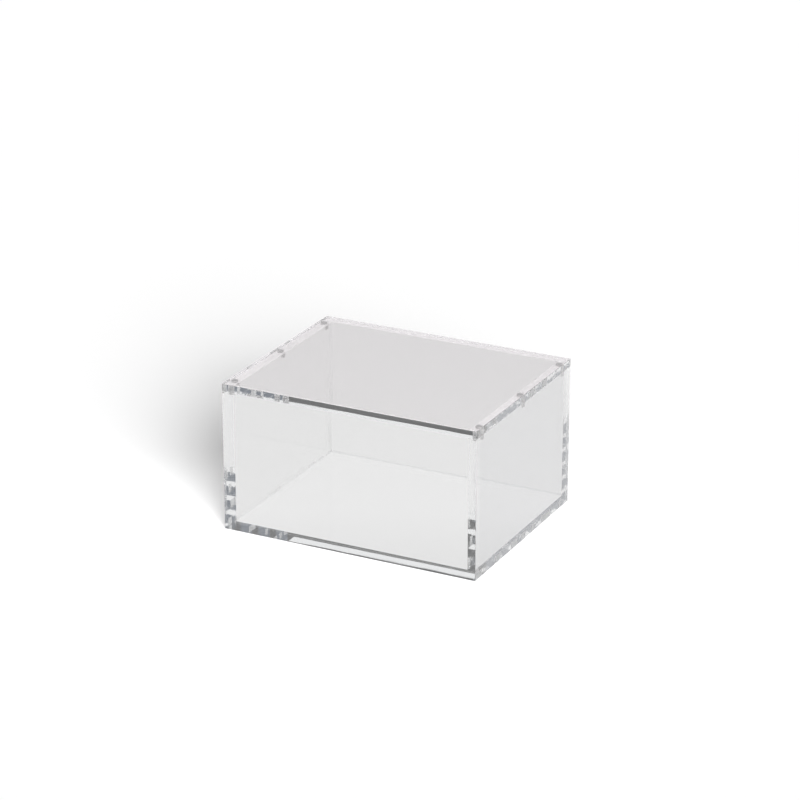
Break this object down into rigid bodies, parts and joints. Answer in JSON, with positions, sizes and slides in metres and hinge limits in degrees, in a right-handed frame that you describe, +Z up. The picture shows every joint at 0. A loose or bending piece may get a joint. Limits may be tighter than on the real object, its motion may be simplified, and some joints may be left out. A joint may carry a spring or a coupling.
{
  "type": "storage box with lid",
  "caption": "Low clear acrylic display and storage box with a flat lift-off lid, flush with its walls and held on by small disc magnets set into the sheets.",
  "frame": {"origin": "middle of the underside, on the surface that the box stands on", "axes": "+Z up; +X along the long side, to the right seen from the front; the front faces -Y"},
  "size_m": [0.21, 0.1656, 0.1176],
  "materials": {
    "clear_acrylic": "clear cast acrylic sheet with polished faces and edges, refractive index 1.49",
    "nickel": "satin nickel plate on a disc magnet"
  },
  "bodies": {
    "box": {"base_panel": "clear_acrylic", "front_wall": "clear_acrylic", "back_wall": "clear_acrylic", "left_wall": "clear_acrylic", "right_wall": "clear_acrylic", "wall_magnet_left_front": "nickel", "wall_magnet_left_middle": "nickel", "wall_magnet_left_back": "nickel", "wall_magnet_right_front": "nickel", "wall_magnet_right_middle": "nickel", "wall_magnet_right_back": "nickel"},
    "lid": {"lid_panel": "clear_acrylic", "lid_magnet_left_front": "nickel", "lid_magnet_left_middle": "nickel", "lid_magnet_left_back": "nickel", "lid_magnet_right_front": "nickel", "lid_magnet_right_middle": "nickel", "lid_magnet_right_back": "nickel"}
  },
  "joints": [
    {"name": "lid_lift", "type": "slide", "parent": "box", "child": "lid", "axis": [0, 0, 1], "range_m": [0, 0.06]}
  ]
}
